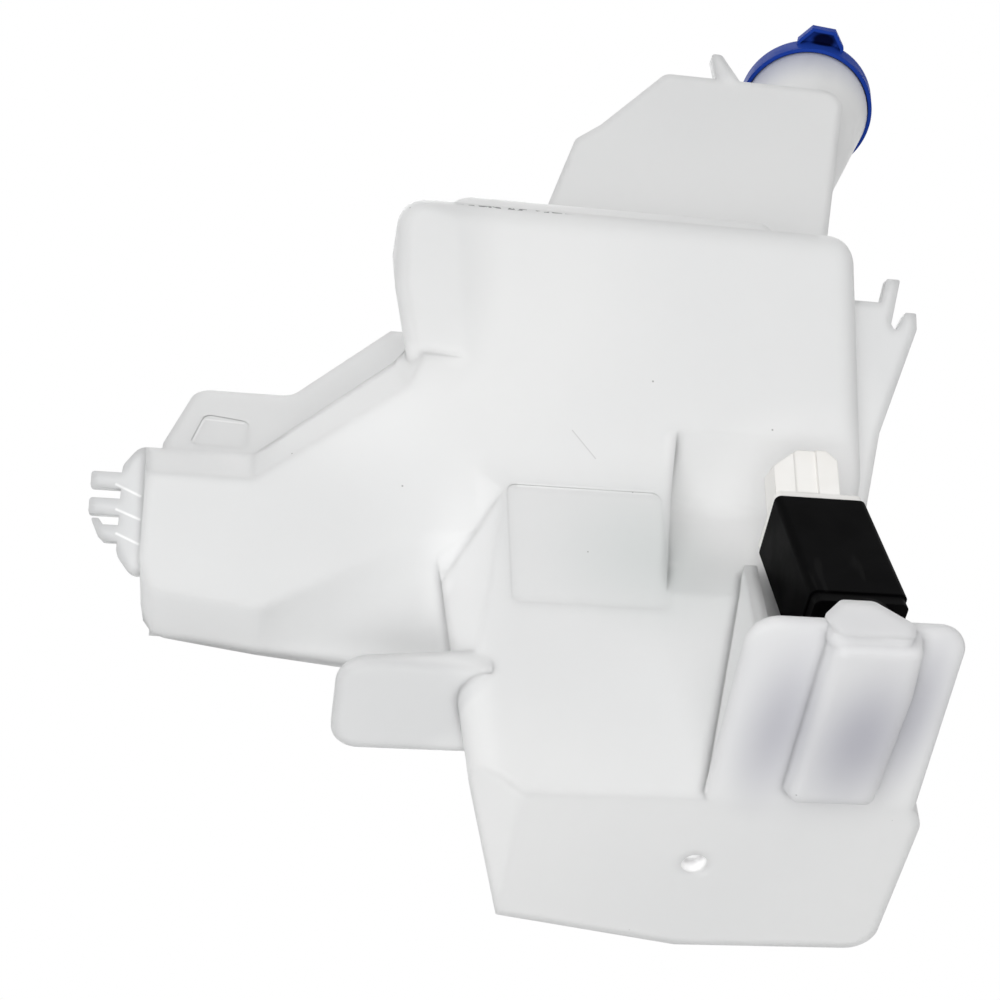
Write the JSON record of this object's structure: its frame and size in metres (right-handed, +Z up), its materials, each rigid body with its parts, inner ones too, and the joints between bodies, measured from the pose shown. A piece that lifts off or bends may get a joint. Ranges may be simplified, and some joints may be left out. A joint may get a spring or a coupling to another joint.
{
  "type": "windscreen washer fluid reservoir",
  "caption": "Translucent blow-moulded washer fluid tank with a leaning front, a side wing with hose hooks, a tall filler neck with a pull-off cap and a motor pump on its sump shelf.",
  "frame": {"origin": "on the axis of the pump motor, on the flat underside of the sump keel, which is the lowest point", "axes": "+Z up along the pump axis, +X towards the filler neck, +Y from the leaning front face towards the back"},
  "size_m": [0.3122, 0.1732, 0.3694],
  "materials": {
    "tank_plastic": "translucent natural blow-moulded plastic, satin",
    "cap_plastic": "dark blue, semi-gloss",
    "seal_rubber": "soft black rubber",
    "case_plastic": "black, satin",
    "connector_plastic": "ivory, satin",
    "terminal_brass": "tinned brass",
    "can_steel": "zinc plated steel",
    "magnet_ferrite": "dark grey ferrite",
    "core_steel": "stacked steel sheets",
    "winding_copper": "enamelled copper wire",
    "commutator_copper": "copper bars",
    "shaft_steel": "ground steel",
    "bearing_bronze": "sintered bronze",
    "brush_carbon": "carbon",
    "arm_brass": "spring brass",
    "holder_plastic": "dark grey plastic",
    "pump_plastic": "black, satin",
    "impeller_plastic": "grey plastic",
    "grommet_rubber": "soft black rubber",
    "strainer_plastic": "natural plastic"
  },
  "bodies": {
    "tank": {"reservoir_shell": "tank_plastic", "motor_case": "case_plastic", "connector_plate": "connector_plastic", "terminal_left": "terminal_brass", "terminal_right": "terminal_brass", "motor_can": "can_steel", "magnet_left": "magnet_ferrite", "magnet_right": "magnet_ferrite", "lower_bearing": "bearing_bronze", "upper_bearing": "bearing_bronze", "brush_left": "brush_carbon", "brush_right": "brush_carbon", "brush_arm_left": "arm_brass", "brush_arm_right": "arm_brass", "brush_holder": "holder_plastic", "pump_body": "pump_plastic", "shaft_seal": "seal_rubber", "pump_cover": "pump_plastic", "inlet_grommet": "grommet_rubber", "inlet_strainer": "strainer_plastic"},
    "rotor": {"motor_shaft": "shaft_steel", "armature_core": "core_steel", "armature_winding": "winding_copper", "commutator": "commutator_copper", "impeller": "impeller_plastic"},
    "cap": {"filler_cap": "cap_plastic", "cap_seal": "seal_rubber"}
  },
  "joints": [
    {"name": "rotor_spin", "type": "hinge", "parent": "tank", "child": "rotor", "pos_m": [0, 0, 0.05], "axis": [0, 0, 1], "continuous": true},
    {"name": "cap_pull", "type": "slide", "parent": "tank", "child": "cap", "axis": [0.2402, 0, 0.9707], "range_m": [0, 0.03]}
  ]
}
